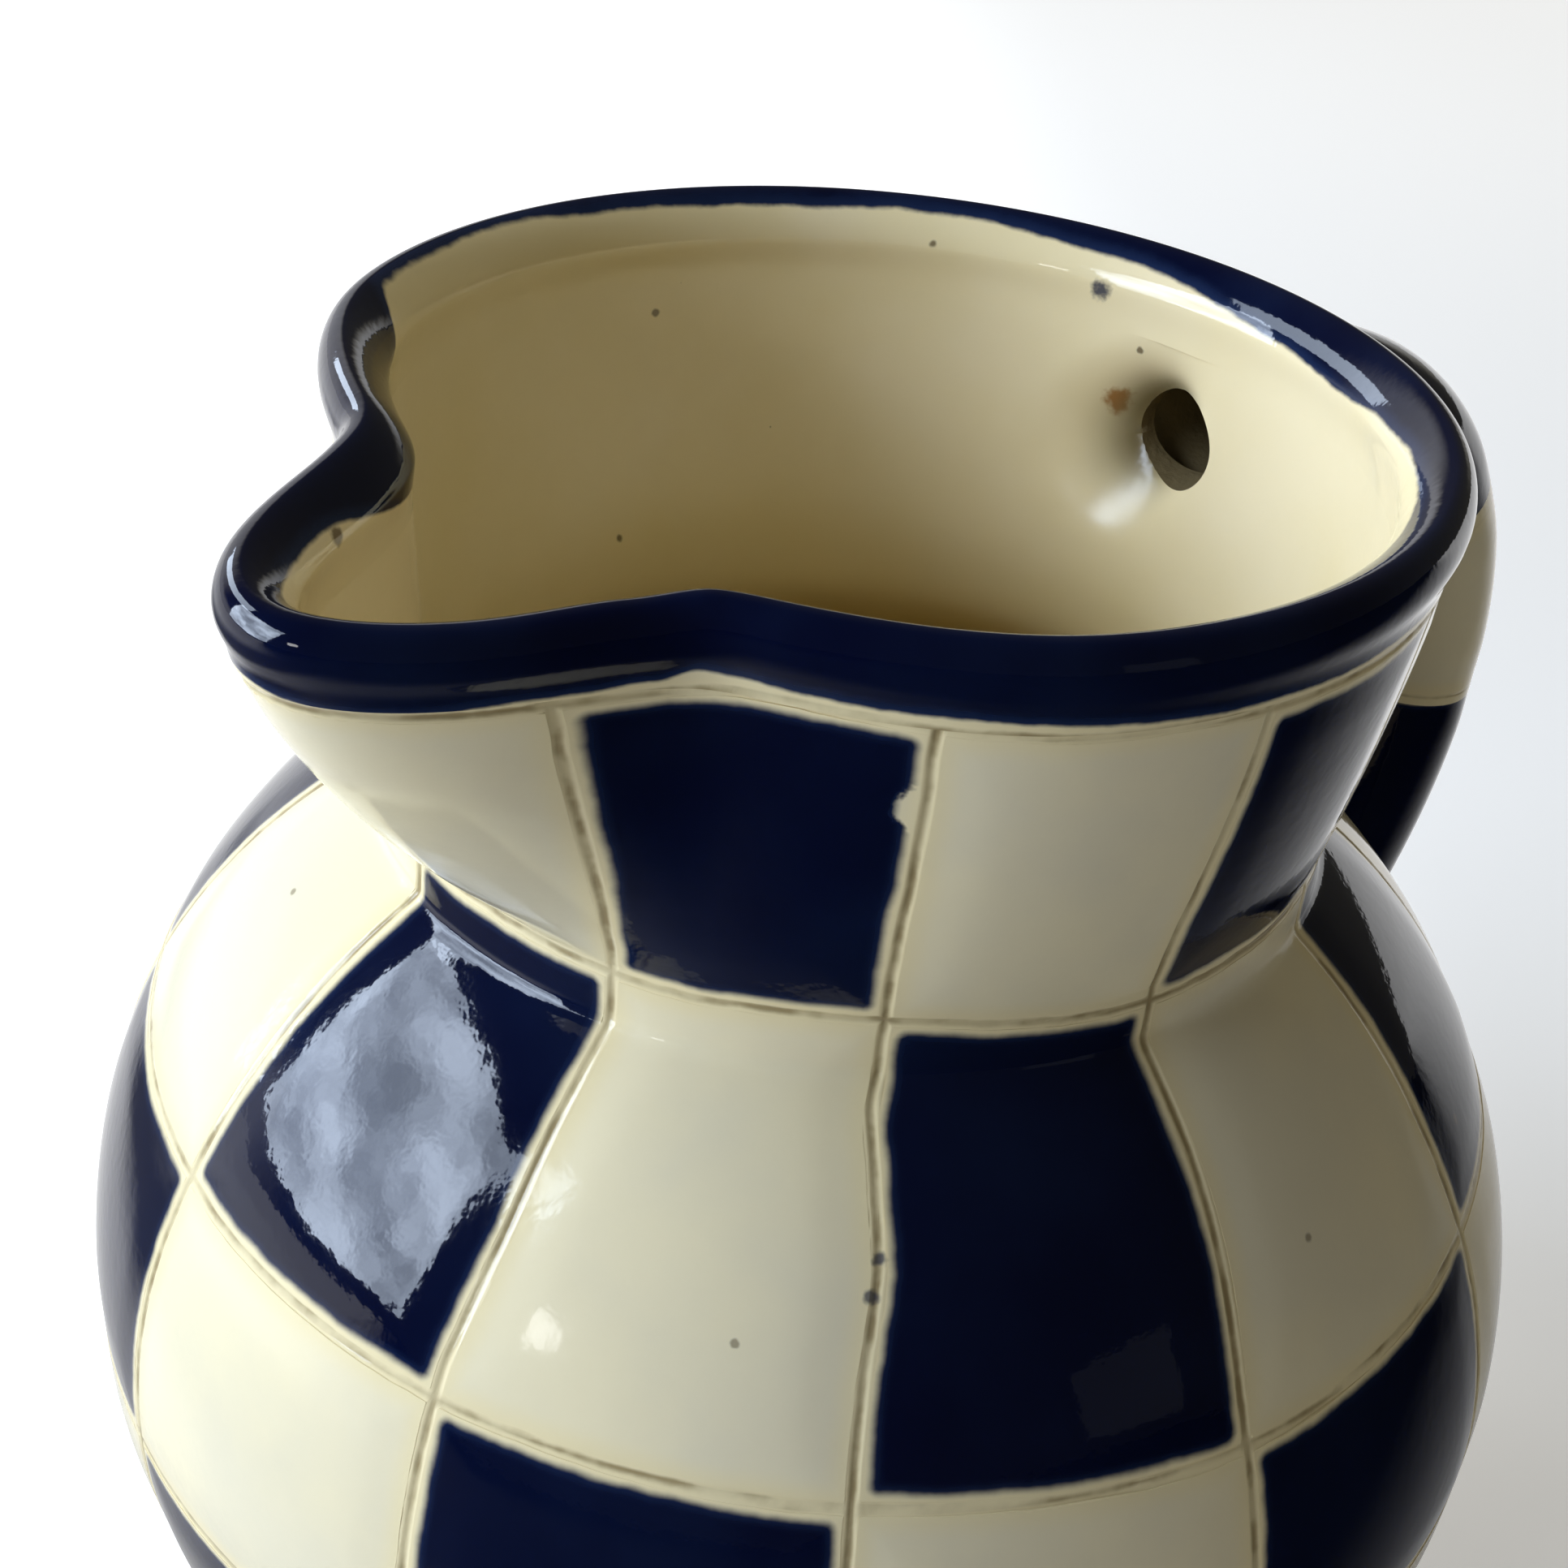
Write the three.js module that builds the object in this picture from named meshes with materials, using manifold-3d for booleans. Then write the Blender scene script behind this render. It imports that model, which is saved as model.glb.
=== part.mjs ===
// Faience jug: a cast earthenware jug with a pinched spout, a rolled rim, a hollow handle
// and a checkerboard of cobalt and cream glaze fields.
// Millimetres, +Z up. The jug stands on z = 0 with its axis on Z, and the spout points along -X.

import * as THREE from 'three';
import { mergeVertices } from 'three/addons/utils/BufferGeometryUtils.js';
import Module from 'manifold-3d';

const wasm = await Module();
wasm.setup();

const { degToRad, lerp, smoothstep } = THREE.MathUtils;

// Clay body
const WALL = 5;
const FOOT_RADIUS = 55.5;
const FOOT_HEIGHT = 6;
const FOOT_BEVEL = 1.2;
const BELLY_RADIUS = 81.7;
const BELLY_HALF_HEIGHT = 74;
const BELLY_CENTRE_Z = 58.5;
const COLLAR_RADIUS = 50.2;
const COLLAR_HEIGHT = 6.5;
const NECK_HEIGHT = 33;
const NECK_SWELL = 0.4;

// Mouth, seen from above: a circle that is pinched at two notches and drawn out to a spout
const MOUTH_RADIUS = 53.6;
const SPOUT_REACH = 73.6;
const NOTCH_RADIUS = 51.1;
const NOTCH_ANGLE = degToRad(24.5);
const ROUND_ANGLE = degToRad(62);
const RIM_THICKNESS = 6.8;
const RIM_HEIGHT = 8;
const RIM_TUCK = 0.5;

// Handle: an oval tube on one curve, skewed round the jug and turned on its root as in the photo
const HANDLE_WIDTH = 23;
const HANDLE_THICKNESS = 20;
const HANDLE_WALL = 4.5;
const HANDLE_SKEW = degToRad(-3);
const HANDLE_TURN = degToRad(-10.4);
const HANDLE_DROP = 14;
const HANDLE_RISE = 20.7;
const HANDLE_TOP_PULL = 65;
const HANDLE_BOW = 27.5;
const HANDLE_FOOT_Z = 50.5;
const HANDLE_FOOT_PULL = 20.3;
const HANDLE_FOOT_DEPTH = 12;
const CREAM_BAND_START = 0.362;
const CREAM_BAND_END = 0.555;
const BAND_GAP = 0.012;

// Glaze: each field is a thin coat that sits on the clay between scored lines
const SEAT = 0.3;
const COAT = 0.7;
const COLUMNS = 12;
const BELLY_ROWS = 3;
const LINE_GAP = 2;
const LINE_ANGLE = degToRad(1.6);
const FOOT_BAND_TOP = 22.5;

// Facets
const BELLY_SEGMENTS = 48;
const MOUTH_SEGMENTS = 72;
const SPOUT_CROWDING = 0.55;
const FIELD_STEPS = 4;
const SPOUT_FIELD_STEPS = 12;
const FOOT_BAND_STEPS = 2;
const BELLY_ROW_STEPS = 3;
const SHOULDER_STEPS = 4;
const COLLAR_STEPS = 2;
const NECK_STEPS = 5;
const INNER_BELLY_STEPS = 8;
const INNER_NECK_STEPS = 4;
const RIM_ARC_STEPS = 6;
const HANDLE_SIDES = 12;
const HANDLE_STEPS = 24;
const TANGENT_STEP = 0.01;

// Heights and radii that follow from the dimensions
const COLLAR_FOOT_Z = BELLY_CENTRE_Z
  + BELLY_HALF_HEIGHT * Math.sqrt(1 - (COLLAR_RADIUS / BELLY_RADIUS) ** 2);
const WAIST_Z = COLLAR_FOOT_Z + COLLAR_HEIGHT;
const NECK_TOP = WAIST_Z + NECK_HEIGHT;
const RIM_RADIUS = RIM_THICKNESS / 2;
const NECK_LINE = RIM_RADIUS - RIM_TUCK - SEAT - COAT;
const ROW_HEIGHT = (WAIST_Z - FOOT_BAND_TOP) / BELLY_ROWS;
const MID_LINE = FOOT_BAND_TOP + ROW_HEIGHT;
const UPPER_LINE = MID_LINE + ROW_HEIGHT;
const LINE_MARGIN = LINE_GAP / 2;
const COLUMN_ANGLE = 2 * Math.PI / COLUMNS;

const CREAM = { color: 0xddd6c4, roughness: 0.18, metalness: 0 };
const COBALT = { color: 0x141c48, roughness: 0.1, metalness: 0 };
const CLAY = { color: 0xd6cbb0, roughness: 0.55, metalness: 0 };

// Heights between two ends, both included
function levels(from, to, steps) {
  return Array.from({ length: steps + 1 }, (_, i) => lerp(from, to, i / steps));
}

// Angle from the spout, between -PI and PI
function fromSpout(theta) {
  return Math.atan2(-Math.sin(theta), -Math.cos(theta));
}

// Gathers evenly spaced angles towards the spout, where the mouth bends most
function crowd(theta) {
  const turn = fromSpout(theta);
  return Math.PI + turn - SPOUT_CROWDING * Math.sin(turn);
}

function mouthRadius(theta) {
  const turn = Math.abs(fromSpout(theta));
  const pinched = lerp(SPOUT_REACH, NOTCH_RADIUS, smoothstep(turn, 0, NOTCH_ANGLE));
  return pinched + (MOUTH_RADIUS - NOTCH_RADIUS) * smoothstep(turn, NOTCH_ANGLE, ROUND_ANGLE);
}

// Point of the mouth's centre line, moved outwards square to the line
function mouthPoint(theta, offset) {
  const at = (angle) => new THREE.Vector2(mouthRadius(angle), 0).rotateAround(new THREE.Vector2(), angle);
  const along = at(theta + TANGENT_STEP).sub(at(theta - TANGENT_STEP)).normalize();
  const outwards = new THREE.Vector2(along.y, -along.x);
  return at(theta).addScaledVector(outwards, offset);
}

// Point of the neck's outer face, which runs from the round collar to the mouth
function neckPoint(theta, z, offset) {
  const rise = (z - WAIST_Z) / NECK_HEIGHT;
  const flare = rise * (1 + NECK_SWELL * (1 - rise));
  const waist = new THREE.Vector2(Math.cos(theta), Math.sin(theta)).multiplyScalar(COLLAR_RADIUS + offset);
  const point = waist.lerp(mouthPoint(theta, NECK_LINE + offset), flare);
  return new THREE.Vector3(point.x, point.y, z);
}

// Radius of the belly's outer face: an ellipse up to the collar, then a short cylinder
function bellyRadius(z, offset) {
  const rise = (z - BELLY_CENTRE_Z) / (BELLY_HALF_HEIGHT + offset);
  const round = (BELLY_RADIUS + offset) * Math.sqrt(Math.max(0, 1 - rise * rise));
  return z > BELLY_CENTRE_Z ? Math.max(round, COLLAR_RADIUS + offset) : round;
}

function bellyPoint(theta, z, offset) {
  const radius = bellyRadius(z, offset);
  return new THREE.Vector3(radius * Math.cos(theta), radius * Math.sin(theta), z);
}

// Leaves only positions, with shared vertices merged
function weld(geometry) {
  geometry.deleteAttribute('normal');
  geometry.deleteAttribute('uv');
  return mergeVertices(geometry);
}

// Moves every vertex of a geometry to where the map sends it
function reshape(geometry, map) {
  const position = geometry.getAttribute('position');
  const vertex = new THREE.Vector3();
  for (let i = 0; i < position.count; i += 1) {
    const moved = map(vertex.fromBufferAttribute(position, i));
    position.setXYZ(i, moved.x, moved.y, moved.z);
  }
  return weld(geometry);
}

// Turns a profile of [radius, z] pairs round the Z axis
function turned(profile, segments) {
  const points = profile.map(([radius, z]) => new THREE.Vector2(radius, z));
  return weld(new THREE.LatheGeometry(points, segments).rotateX(Math.PI / 2));
}

function closed(profile) {
  return [...profile, profile[0]];
}

function toSolid(geometry) {
  return new wasm.Manifold(new wasm.Mesh({
    numProp: 3,
    vertProperties: new Float32Array(geometry.getAttribute('position').array),
    triVerts: new Uint32Array(geometry.getIndex().array),
  }));
}

// Cuts solids out of a geometry and keeps the largest body that is left
function cut(geometry, ...cutters) {
  const solid = cutters.reduce((left, cutter) => left.subtract(toSolid(cutter)), toSolid(geometry));
  const [largest] = solid.decompose().sort((a, b) => b.volume() - a.volume());
  const mesh = largest.getMesh();
  const result = new THREE.BufferGeometry();
  result.setAttribute('position', new THREE.BufferAttribute(mesh.vertProperties, 3));
  result.setIndex(new THREE.BufferAttribute(mesh.triVerts, 1));
  return result;
}

// Rows of glaze fields, from the foot upwards; the clay below them shares their levels
const FOOT_BAND_LEVELS = levels(FOOT_HEIGHT + LINE_MARGIN, FOOT_BAND_TOP - LINE_MARGIN, FOOT_BAND_STEPS);
const LOW_ROW = {
  name: 'low_belly',
  levels: levels(FOOT_BAND_TOP + LINE_MARGIN, MID_LINE - LINE_MARGIN, BELLY_ROW_STEPS),
};
const MID_ROW = {
  name: 'mid_belly',
  levels: levels(MID_LINE + LINE_MARGIN, UPPER_LINE - LINE_MARGIN, BELLY_ROW_STEPS),
};
const UPPER_ROW = {
  name: 'upper_belly',
  levels: [
    ...levels(UPPER_LINE + LINE_MARGIN, COLLAR_FOOT_Z, SHOULDER_STEPS),
    ...levels(COLLAR_FOOT_Z, WAIST_Z - LINE_MARGIN, COLLAR_STEPS).slice(1),
  ],
};
const NECK_ROW = {
  name: 'neck',
  levels: levels(WAIST_Z + LINE_MARGIN, NECK_TOP - LINE_MARGIN, NECK_STEPS),
};
const BELLY_LEVELS = [
  FOOT_HEIGHT, ...FOOT_BAND_LEVELS, ...LOW_ROW.levels, ...MID_ROW.levels, ...UPPER_ROW.levels, WAIST_Z,
];
const NECK_LEVELS = [WAIST_Z, ...NECK_ROW.levels, NECK_TOP];

function foot() {
  return turned([
    [0, 0],
    [FOOT_RADIUS - FOOT_BEVEL, 0],
    [FOOT_RADIUS, FOOT_BEVEL],
    [bellyRadius(FOOT_HEIGHT, 0), FOOT_HEIGHT],
    [0, FOOT_HEIGHT],
  ], BELLY_SEGMENTS);
}

function belly() {
  const innerTop = BELLY_CENTRE_Z
    + (BELLY_HALF_HEIGHT - WALL) * Math.sqrt(1 - ((COLLAR_RADIUS - WALL) / (BELLY_RADIUS - WALL)) ** 2);
  const innerLevels = [...levels(FOOT_HEIGHT, innerTop, INNER_BELLY_STEPS), WAIST_Z];
  const outer = BELLY_LEVELS.map((z) => [bellyRadius(z, 0), z]);
  const inner = innerLevels.map((z) => [bellyRadius(z, -WALL), z]);
  return turned(closed([...outer, ...inner.reverse()]), BELLY_SEGMENTS);
}

// Wall of the neck before the handle's bore pierces it
function neckRing() {
  const outer = NECK_LEVELS.map((z) => [COLLAR_RADIUS, z]);
  const inner = levels(NECK_TOP, WAIST_Z, INNER_NECK_STEPS).map((z) => [COLLAR_RADIUS - WALL, z]);
  return reshape(turned(closed([...outer, ...inner]), MOUTH_SEGMENTS), (vertex) => {
    const theta = crowd(Math.atan2(vertex.y, vertex.x));
    return neckPoint(theta, vertex.z, Math.hypot(vertex.x, vertex.y) - COLLAR_RADIUS);
  });
}

function rim() {
  const arc = levels(0, Math.PI, RIM_ARC_STEPS).map((angle) => [
    MOUTH_RADIUS + RIM_RADIUS * Math.cos(angle),
    NECK_TOP + RIM_HEIGHT - RIM_RADIUS + RIM_RADIUS * Math.sin(angle),
  ]);
  const foothold = RIM_RADIUS - RIM_TUCK;
  const section = [[MOUTH_RADIUS + foothold, NECK_TOP], ...arc, [MOUTH_RADIUS - foothold, NECK_TOP]];
  return reshape(turned(closed(section), MOUTH_SEGMENTS), (vertex) => {
    const theta = crowd(Math.atan2(vertex.y, vertex.x));
    const point = mouthPoint(theta, Math.hypot(vertex.x, vertex.y) - MOUTH_RADIUS);
    return new THREE.Vector3(point.x, point.y, vertex.z);
  });
}

// Filled shapes of the clay, grown by an offset, that trim whatever is seated against it
function neckCore(offset) {
  const profile = [[0, WAIST_Z], ...NECK_LEVELS.map((z) => [1, z]), [0, NECK_TOP]];
  return reshape(turned(profile, MOUTH_SEGMENTS), (vertex) => {
    const theta = crowd(Math.atan2(vertex.y, vertex.x));
    const share = Math.hypot(vertex.x, vertex.y);
    return neckPoint(theta, vertex.z, offset).multiply(new THREE.Vector3(share, share, 1));
  });
}

function rimCore(offset) {
  const bottom = NECK_TOP - offset;
  const top = NECK_TOP + RIM_HEIGHT;
  return reshape(turned([[0, bottom], [1, bottom], [1, top], [0, top]], MOUTH_SEGMENTS), (vertex) => {
    const theta = crowd(Math.atan2(vertex.y, vertex.x));
    const point = mouthPoint(theta, RIM_RADIUS + offset).multiplyScalar(Math.hypot(vertex.x, vertex.y));
    return new THREE.Vector3(point.x, point.y, vertex.z);
  });
}

function bellyCore(offset) {
  const profile = BELLY_LEVELS.map((z) => [bellyRadius(z, offset), z]);
  return turned([[0, FOOT_HEIGHT], ...profile, [0, WAIST_Z]], BELLY_SEGMENTS);
}

// Axis of the handle in its own upright plane, from inside the neck to inside the belly's wall
const HANDLE_AXIS = new THREE.CubicBezierCurve3(
  new THREE.Vector3(COLLAR_RADIUS - WALL, 0, NECK_TOP - HANDLE_DROP),
  new THREE.Vector3(COLLAR_RADIUS + HANDLE_TOP_PULL, 0, NECK_TOP - HANDLE_DROP + HANDLE_RISE),
  new THREE.Vector3(BELLY_RADIUS + HANDLE_BOW, 0, HANDLE_FOOT_Z + HANDLE_FOOT_PULL),
  new THREE.Vector3(bellyRadius(HANDLE_FOOT_Z, -HANDLE_FOOT_DEPTH), 0, HANDLE_FOOT_Z),
);

// Stretch of the handle's axis between two shares of its length
class HandleStretch extends THREE.Curve {
  constructor(start, end) {
    super();
    this.start = start;
    this.end = end;
  }

  getPoint(share, target) {
    return HANDLE_AXIS.getPoint(lerp(this.start, this.end, share), target);
  }
}

// Oval with the handle's proportions, grown by an offset
function oval(offset) {
  const points = levels(0, 2 * Math.PI, HANDLE_SIDES).slice(0, -1).map((angle) => new THREE.Vector2(
    (HANDLE_WIDTH / 2 + offset) * Math.cos(angle),
    (HANDLE_THICKNESS / 2 + offset) * Math.sin(angle),
  ));
  return new THREE.Shape(points);
}

// Tube along a stretch of the handle's axis; without an inner offset it is filled
function handleTube(start, end, outer, inner) {
  const section = oval(outer);
  if (inner !== undefined) {
    section.holes.push(oval(inner));
  }
  const steps = Math.round(HANDLE_STEPS * (end - start));
  const extrudePath = new HandleStretch(start, end);
  const tube = new THREE.ExtrudeGeometry(section, { steps, extrudePath, bevelEnabled: false });
  tube.translate(-COLLAR_RADIUS, 0, 0).rotateZ(HANDLE_TURN).translate(COLLAR_RADIUS, 0, 0);
  return weld(tube.rotateZ(HANDLE_SKEW));
}

function handle() {
  const tube = handleTube(0, 1, 0, -HANDLE_WALL);
  return cut(tube, neckCore(SEAT), rimCore(SEAT), bellyCore(SEAT));
}

function handleBand(start, end) {
  const sleeve = handleTube(start, end, SEAT + COAT, SEAT);
  const clearance = SEAT + COAT + SEAT;
  return cut(sleeve, neckCore(clearance), rimCore(SEAT), bellyCore(clearance));
}

function neck() {
  return cut(neckRing(), handleTube(0, CREAM_BAND_START, -HANDLE_WALL));
}

function footBand() {
  const outer = FOOT_BAND_LEVELS.map((z) => [bellyRadius(z, SEAT + COAT), z]);
  const inner = FOOT_BAND_LEVELS.map((z) => [bellyRadius(z, SEAT), z]);
  return turned(closed([...outer, ...inner.reverse()]), BELLY_SEGMENTS);
}

// One glaze field: a thin box bent onto the wall between two scored lines
function field(row, column) {
  const onNeck = row === NECK_ROW;
  const nearSpout = onNeck && [0, 1, COLUMNS - 1].includes(column);
  const heights = row.levels.length - 1;
  const sheet = new THREE.BoxGeometry(1, 1, 1, nearSpout ? SPOUT_FIELD_STEPS : FIELD_STEPS, heights, 1);
  const middle = Math.PI + column * COLUMN_ANGLE;
  const bent = reshape(sheet, (vertex) => {
    const theta = middle + vertex.x * (COLUMN_ANGLE - LINE_ANGLE);
    const z = row.levels[Math.round((vertex.y + 0.5) * heights)];
    const offset = SEAT + (vertex.z + 0.5) * COAT;
    return onNeck ? neckPoint(theta, z, offset) : bellyPoint(theta, z, offset);
  });
  const underHandle = Math.cos(middle - HANDLE_SKEW) > Math.cos(COLUMN_ANGLE);
  return underHandle ? cut(bent, handleTube(0, 1, SEAT)) : bent;
}

const jug = new THREE.Group();

function addPiece(name, geometry, look) {
  geometry.computeVertexNormals();
  const piece = new THREE.Mesh(geometry, new THREE.MeshStandardMaterial(look));
  piece.name = name;
  jug.add(piece);
}

addPiece('foot', foot(), CLAY);
addPiece('belly', belly(), CREAM);
addPiece('neck', neck(), CREAM);
addPiece('rim', rim(), COBALT);
addPiece('handle', handle(), CREAM);
addPiece('handle_band_top', handleBand(0, CREAM_BAND_START - BAND_GAP), COBALT);
addPiece('handle_band_middle', handleBand(CREAM_BAND_START, CREAM_BAND_END - BAND_GAP), CREAM);
addPiece('handle_band_bottom', handleBand(CREAM_BAND_END, 1), COBALT);
addPiece('foot_band', footBand(), COBALT);

[LOW_ROW, MID_ROW, UPPER_ROW, NECK_ROW].forEach((row, rowIndex) => {
  for (let column = 0; column < COLUMNS; column += 1) {
    const isCobalt = (rowIndex + column) % 2 === 0;
    const number = String(column + 1).padStart(2, '0');
    const name = `${row.name}_${isCobalt ? 'cobalt' : 'cream'}_${number}`;
    addPiece(name, field(row, column), isCobalt ? COBALT : CREAM);
  }
});

export default jug;
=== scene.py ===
# %% [markdown]
# # A checkered earthenware jug
# The jug is cast in buff clay, scored into a grid while it is soft, and glazed field by field:
# cream and cobalt pools lie between the scored lines, and a rolled cobalt rim closes the mouth.
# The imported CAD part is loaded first, because every piece below has to sit in the same frame.

# %% Load the frame
import math
from functools import lru_cache

import bmesh
import bpy
from mathutils import Matrix, Quaternion, Vector, kdtree, noise


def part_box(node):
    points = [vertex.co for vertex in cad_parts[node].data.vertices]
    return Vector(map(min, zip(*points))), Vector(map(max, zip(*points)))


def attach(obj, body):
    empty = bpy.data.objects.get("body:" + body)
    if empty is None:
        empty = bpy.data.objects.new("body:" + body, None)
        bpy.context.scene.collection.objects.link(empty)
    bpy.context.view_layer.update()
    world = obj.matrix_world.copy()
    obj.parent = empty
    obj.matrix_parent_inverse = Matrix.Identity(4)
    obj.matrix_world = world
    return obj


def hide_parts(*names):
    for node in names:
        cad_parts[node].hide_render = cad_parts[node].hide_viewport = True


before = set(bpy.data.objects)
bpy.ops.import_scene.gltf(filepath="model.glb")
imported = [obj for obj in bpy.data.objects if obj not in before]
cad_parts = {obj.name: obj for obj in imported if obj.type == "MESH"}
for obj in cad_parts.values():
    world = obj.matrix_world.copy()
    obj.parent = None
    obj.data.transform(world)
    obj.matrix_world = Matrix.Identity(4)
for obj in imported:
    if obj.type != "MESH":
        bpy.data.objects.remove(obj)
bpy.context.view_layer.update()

# %% [markdown]
# ## Sizes
# The walls take their sizes from the CAD part, so that each fine piece lies where its solid lies. Only the
# notches are half a millimetre deeper, because softening fills them up again. Heights come from the
# frame's own boxes. What a box can't tell, such as the spout's reach, is named here. Angles are measured
# round the upright axis, and the spout looks along -X.

# %% Sizes of the walls
MM = 0.001
WALL = 5 * MM
BELLY_RADIUS = 81.7 * MM
BELLY_HALF_HEIGHT = 74 * MM
BELLY_CENTRE_Z = 58.5 * MM
COLLAR_RADIUS = 50.2 * MM
COLLAR_HEIGHT = 6.5 * MM
MOUTH_RADIUS = 53.6 * MM
SPOUT_REACH = 73.6 * MM
NOTCH_RADIUS = 50.6 * MM
NOTCH_ANGLE = math.radians(24.5)
ROUND_ANGLE = math.radians(62)
NOTCH_SOFTNESS = math.radians(5)
NECK_LINE = 1.9 * MM
NECK_SWELL = 0.4
COLLAR_BLEND = 0.9 * MM

FOOT_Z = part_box("belly")[0].z
WAIST_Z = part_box("neck")[0].z
NECK_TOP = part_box("neck")[1].z
RIM_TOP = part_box("rim")[1].z
NECK_HEIGHT = NECK_TOP - WAIST_Z
COLLAR_FOOT = WAIST_Z - COLLAR_HEIGHT
print(f"foot {FOOT_Z / MM:.1f}, waist {WAIST_Z / MM:.1f}, rim {NECK_TOP / MM:.1f} to {RIM_TOP / MM:.1f} mm")

# %% [markdown]
# ## The wall as a function
# A jug like this is round below and pinched above. A plain spin makes the round part, and the pinched
# part is that same spin with each vertex moved: one function says where a point of the wall lies for
# an angle, a height and a distance from the clay's face. A thumb presses the notches beside the spout,
# so the outline is averaged there into a soft hollow. Every later piece asks this function.

# %% Wall functions
TANGENT_STEP = 0.08
SOFT_FROM, SOFT_FULL = 0.3 * NOTCH_ANGLE, 0.8 * NOTCH_ANGLE
SOFT_STEPS = 3
SETTLE_RISE = 0.12


def smoothstep(value, low, high):
    share = min(1, max(0, (value - low) / (high - low)))
    return share * share * (3 - 2 * share)


def direction(theta):
    return Vector((math.cos(theta), math.sin(theta)))


def from_spout(theta):
    return math.atan2(-math.sin(theta), -math.cos(theta))


def pinched_radius(turn):
    pinched = SPOUT_REACH + (NOTCH_RADIUS - SPOUT_REACH) * smoothstep(turn, 0, NOTCH_ANGLE)
    return pinched + (MOUTH_RADIUS - NOTCH_RADIUS) * smoothstep(turn, NOTCH_ANGLE, ROUND_ANGLE)


@lru_cache(maxsize=None)
def mouth_radius(theta):
    turn = abs(from_spout(theta))
    softness = NOTCH_SOFTNESS * smoothstep(turn, SOFT_FROM, SOFT_FULL)
    steps = range(-SOFT_STEPS, SOFT_STEPS + 1)
    nearby = [pinched_radius(turn + softness * step / SOFT_STEPS) for step in steps]
    return sum(nearby) / len(nearby)


def mouth_point(theta, offset):
    before, here, after = (
        direction(angle) * mouth_radius(angle)
        for angle in (theta - TANGENT_STEP, theta, theta + TANGENT_STEP)
    )
    along = (after - before).normalized()
    return here + Vector((along.y, -along.x)) * offset


def neck_point(theta, z, offset, settle=0):
    rise = (z - WAIST_Z) / NECK_HEIGHT
    flare = rise * (1 + NECK_SWELL * (1 - rise))
    flare -= settle * (1 - math.exp(-rise / SETTLE_RISE)) * (1 - rise) ** 2
    waist = direction(theta) * (COLLAR_RADIUS + offset)
    return waist.lerp(mouth_point(theta, NECK_LINE + offset), flare).to_3d() + Vector((0, 0, z))


def softer_max(a, b, blend):
    share = min(1, max(0, 0.5 + (a - b) / (2 * blend)))
    return b + (a - b) * share + blend * share * (1 - share)


def belly_radius(z, offset, blend=COLLAR_BLEND):
    rise = (z - BELLY_CENTRE_Z) / (BELLY_HALF_HEIGHT + offset)
    round_part = (BELLY_RADIUS + offset) * math.sqrt(max(0, 1 - rise * rise))
    return softer_max(round_part, COLLAR_RADIUS + offset, blend) if rise > 0 else round_part


def wall_point(theta, z, offset):
    if z > WAIST_Z:
        return neck_point(theta, z, offset)
    return (direction(theta) * belly_radius(z, offset)).to_3d() + Vector((0, 0, z))


print(f"spout reaches {mouth_radius(math.pi) / MM:.1f} mm from the axis")

# %% [markdown]
# ## Scored lines
# A potter scores the grid by hand, so no line is quite straight. The lines that the photo shows have a few
# bends read off it, and every line has a little noise on top. The same lines cut the grooves, shape the
# glaze pools and later tint the clay, so all three agree. Lines are numbered from the spout towards -Y,
# and from the foot up.

# %% Scored grid
COLUMNS, BELLY_ROWS = 12, 3
COLUMN = 2 * math.pi / COLUMNS
FOOT_BAND_TOP = 22.5 * MM
ROW_HEIGHT = (WAIST_Z - FOOT_BAND_TOP) / BELLY_ROWS
RIM_LINE, RIM_LINE_DROP = BELLY_ROWS + 1, 0.9 * MM
LINE_HEIGHTS = [FOOT_BAND_TOP + ROW_HEIGHT * row for row in range(RIM_LINE)] + [NECK_TOP - RIM_LINE_DROP]
WANDER, WANDERS_PER_METRE = 0.45 * MM, 50
TREMBLE, TREMBLES_PER_METRE = 0.12 * MM, 330
LINES_APART, FIRST_LEVEL = 7.3 * MM, 20
NECK_LEAN = 1.06
LEAN_STEP = 0.5 * MM

UPRIGHT_BENDS = {
    0: [(40, 0), (89, -0.8), (105, 0.5), (118, 1.2), (124, 1.2), (157, -1.3)],
    1: [(40, 0), (88, -0.8), (97, -0.6), (106, 0.3), (112, -0.2), (115, -0.6), (118, 0.1), (157, 1.0)],
    2: [(40, 0), (88, -1.5), (110, 0), (124, 0.2), (157, 1.7)],
    3: [(40, 0), (90, -0.8), (124, 0.6), (157, 0.8)],
    11: [(40, 0), (90, -0.5), (124, 0.8), (157, 0)],
}
LEVEL_BENDS = {
    2: [(100, 0), (165, -0.3), (195, -0.9), (225, -1.3), (255, -2.0), (285, -0.2), (330, 0)],
    3: [(100, 0), (165, -0.8), (195, -0.9), (225, 0.1), (255, -1.4), (285, -0.8), (330, 0)],
    4: [(150, 0), (180, -0.3), (194, 0), (208, 0.8), (226, 0.7), (257, 0.2), (300, 0)],
}


def bend(knots, at):
    for (start, before), (end, after) in zip(knots, knots[1:]):
        if start <= at <= end:
            return (before + (after - before) * smoothstep(at, start, end)) * MM
    return 0


def wander(number, x, y):
    spot = Vector((x, y, number * LINES_APART))
    slow, quick = noise.noise(spot * WANDERS_PER_METRE), noise.noise(spot * TREMBLES_PER_METRE)
    return WANDER * slow + TREMBLE * quick


@lru_cache(maxsize=None)
def upright_line(border, z):
    shift = wander(border % COLUMNS, z, 0) + bend(UPRIGHT_BENDS.get(border % COLUMNS, []), z / MM)
    return math.pi + (border + 0.5) * COLUMN, shift


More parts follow.
